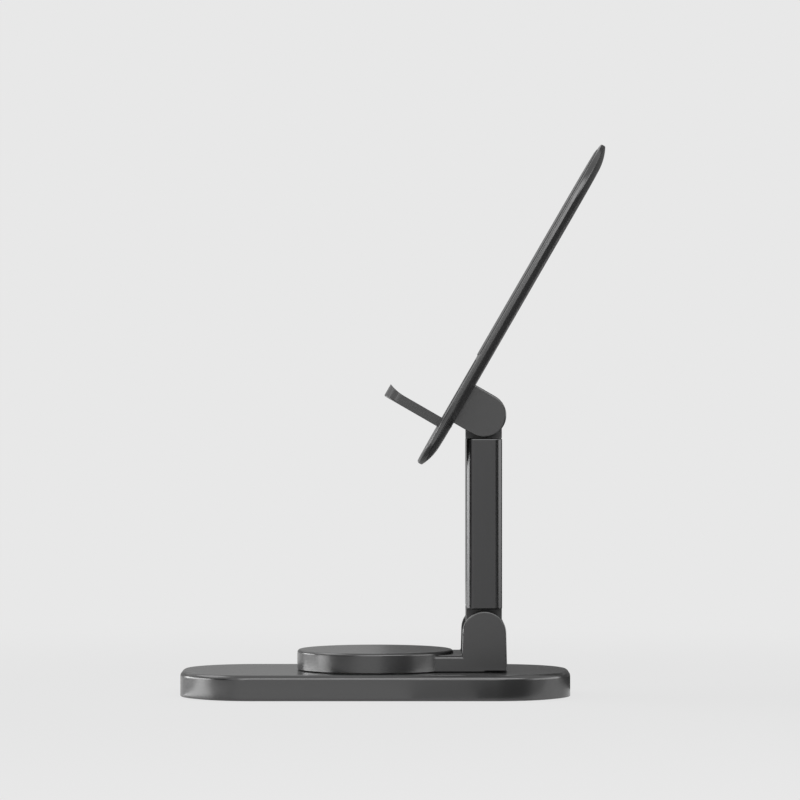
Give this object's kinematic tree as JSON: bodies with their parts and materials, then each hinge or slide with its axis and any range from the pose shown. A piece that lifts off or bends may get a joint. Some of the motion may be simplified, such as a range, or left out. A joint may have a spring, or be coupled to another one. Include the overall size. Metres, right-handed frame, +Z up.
{
  "type": "foldable phone stand",
  "caption": "Foldable phone stand: weighted rounded base, turning disc with a hinge block, folding arm, and a leaning padded plate with a flip-out ledge for the phone.",
  "frame": {"origin": "middle of the foot pad's underside, on the desk and on the turning disc's axis", "axes": "+Z up, +X to the rear so that the phone faces -X, Y along both hinge lines"},
  "size_m": [0.1425, 0.062, 0.185],
  "materials": {
    "shell_grey": "satin",
    "arm_grey": "satin",
    "neck_dark": "matte",
    "cover_black": "matte",
    "silicone": "matte",
    "steel": "satin",
    "ballast_steel": "matte",
    "bearing_plastic": "satin",
    "bronze": "satin"
  },
  "bodies": {
    "base": {"base_shell": "shell_grey", "base_cover": "cover_black", "base_cover_screws": "steel", "foot_pad": "silicone", "ballast_plate": "ballast_steel", "swivel_bush": "bearing_plastic", "glide_ring": "bearing_plastic"},
    "turntable": {"turntable": "shell_grey", "disc_spring": "steel", "retaining_washer": "steel", "swivel_screw": "steel", "lower_hinge_pin": "steel", "lower_pin_plug": "shell_grey", "lower_thrust_washers": "bearing_plastic"},
    "arm": {"arm_tube": "arm_grey", "lower_knuckle": "neck_dark", "upper_knuckle": "neck_dark", "lower_sleeve": "bronze", "upper_sleeve": "bronze"},
    "upper_pin": {"upper_hinge_pin": "steel"},
    "plate": {"hinge_head": "shell_grey", "upper_pin_plug": "shell_grey", "upper_thrust_washers": "bearing_plastic", "plate": "shell_grey", "front_pad": "silicone", "head_screws": "steel", "ledge_pin": "steel"},
    "ledge": {"ledge": "shell_grey", "ledge_grip": "silicone"}
  },
  "joints": [
    {"name": "turntable_swivel", "type": "hinge", "parent": "base", "child": "turntable", "pos_m": [0, 0, 0.0091], "axis": [0, 0, 1], "continuous": true},
    {"name": "arm_fold", "type": "hinge", "parent": "turntable", "child": "arm", "pos_m": [0.03643, 0, 0.02185], "axis": [0, -1, 0], "range_deg": [0, 90]},
    {"name": "plate_fold", "type": "hinge", "parent": "arm", "child": "upper_pin", "pos_m": [0.03643, 0, 0.0944], "axis": [0, -1, 0], "range_deg": [-120, 0]},
    {"name": "plate_tilt", "type": "hinge", "parent": "upper_pin", "child": "plate", "pos_m": [0.03643, 0, 0.0944], "axis": [0, -1, 0], "range_deg": [-30, 20]},
    {"name": "ledge_flip", "type": "hinge", "parent": "plate", "child": "ledge", "pos_m": [0.02418, 0, 0.09125], "axis": [0, 1, 0], "range_deg": [0, 90]}
  ],
  "couplings": [
    {"joint": "plate_fold", "follows": "arm_fold", "ratio": -1.3333}
  ]
}
